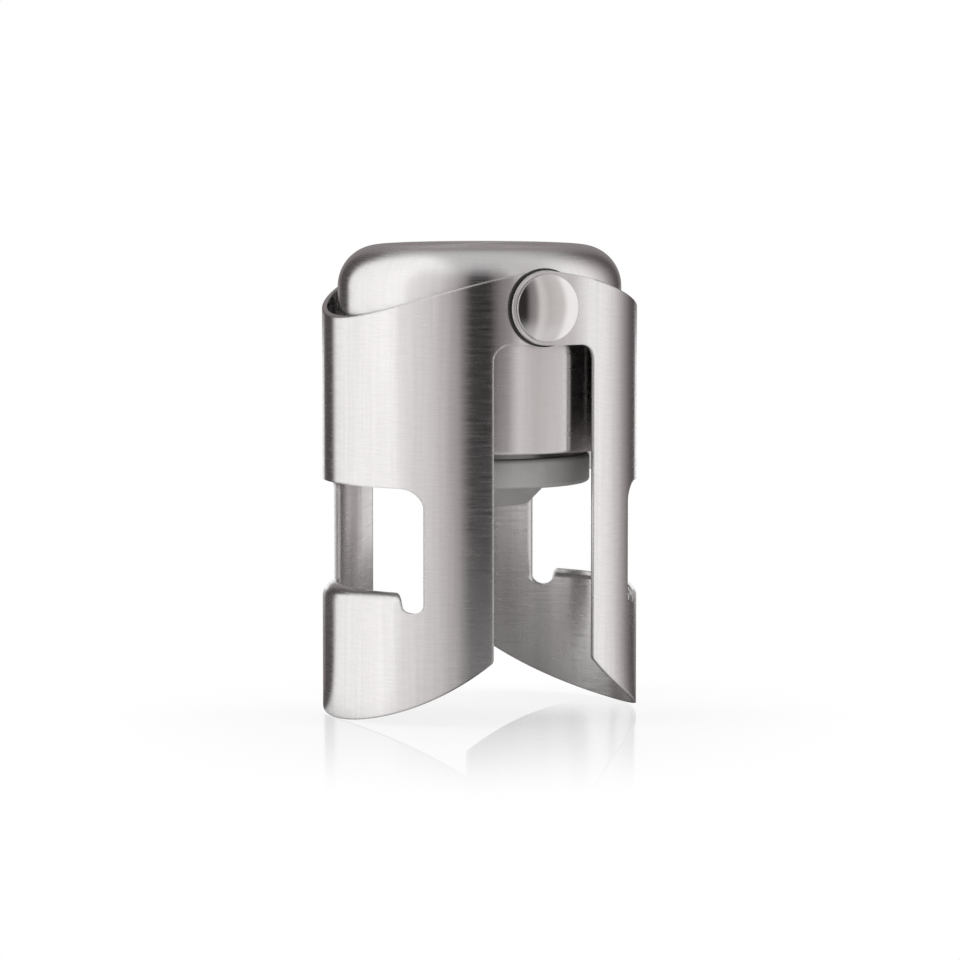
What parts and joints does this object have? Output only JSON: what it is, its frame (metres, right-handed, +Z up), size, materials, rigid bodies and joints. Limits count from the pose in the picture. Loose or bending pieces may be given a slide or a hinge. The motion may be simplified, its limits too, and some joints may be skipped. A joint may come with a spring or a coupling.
{
  "type": "champagne stopper",
  "caption": "Sparkling wine bottle stopper: metal cap with a sprung silicone seal and hinged wings whose hooks grip below the bottle's collar.",
  "frame": {"origin": "centre of the bounding box's bottom face: the axis of the cap, at the level of the wing tips", "axes": "+Z up along the cap's axis, +Y to the back along the hinge axis, +X to the right-hand wing"},
  "size_m": [0.042, 0.0454, 0.0625],
  "materials": {
    "polished_steel": "satin polished",
    "brushed_steel": "brushed round the cylinder",
    "rivet_steel": "polished",
    "dark_washer": "matte",
    "white_plastic": "natural nylon",
    "plain_steel": "plain",
    "dark_steel": "plain, in shade",
    "spring_steel": "drawn wire",
    "silicone": "matte grey silicone"
  },
  "bodies": {
    "cap_body": {"cap": "polished_steel", "front_rivet": "rivet_steel", "rear_rivet": "rivet_steel", "front_spacer_washer": "dark_washer", "rear_spacer_washer": "dark_washer", "front_inner_washer": "white_plastic", "rear_inner_washer": "white_plastic", "front_backing_washer": "plain_steel", "rear_backing_washer": "plain_steel", "guide_plate": "plain_steel", "guide_bush": "white_plastic"},
    "left_wing_body": {"left_wing": "brushed_steel"},
    "right_wing_body": {"right_wing": "brushed_steel"},
    "plunger": {"seal": "silicone", "seal_plate": "dark_steel", "stem": "plain_steel", "stem_clip": "spring_steel", "stop_washer": "plain_steel", "spring_cup": "plain_steel", "spring": "spring_steel"}
  },
  "joints": [
    {"name": "left_wing_hinge", "type": "hinge", "parent": "cap_body", "child": "left_wing_body", "pos_m": [0, 0, 0.0548], "axis": [0, 1, 0], "range_deg": [-4, 50]},
    {"name": "right_wing_hinge", "type": "hinge", "parent": "cap_body", "child": "right_wing_body", "pos_m": [0, 0, 0.0548], "axis": [0, -1, 0], "range_deg": [-4, 50]},
    {"name": "seal_slide", "type": "slide", "parent": "cap_body", "child": "plunger", "axis": [0, 0, 1], "range_m": [0, 0.005], "stiffness_N_per_m": 2000, "springref_m": -0.004, "deforming": ["spring"]}
  ]
}
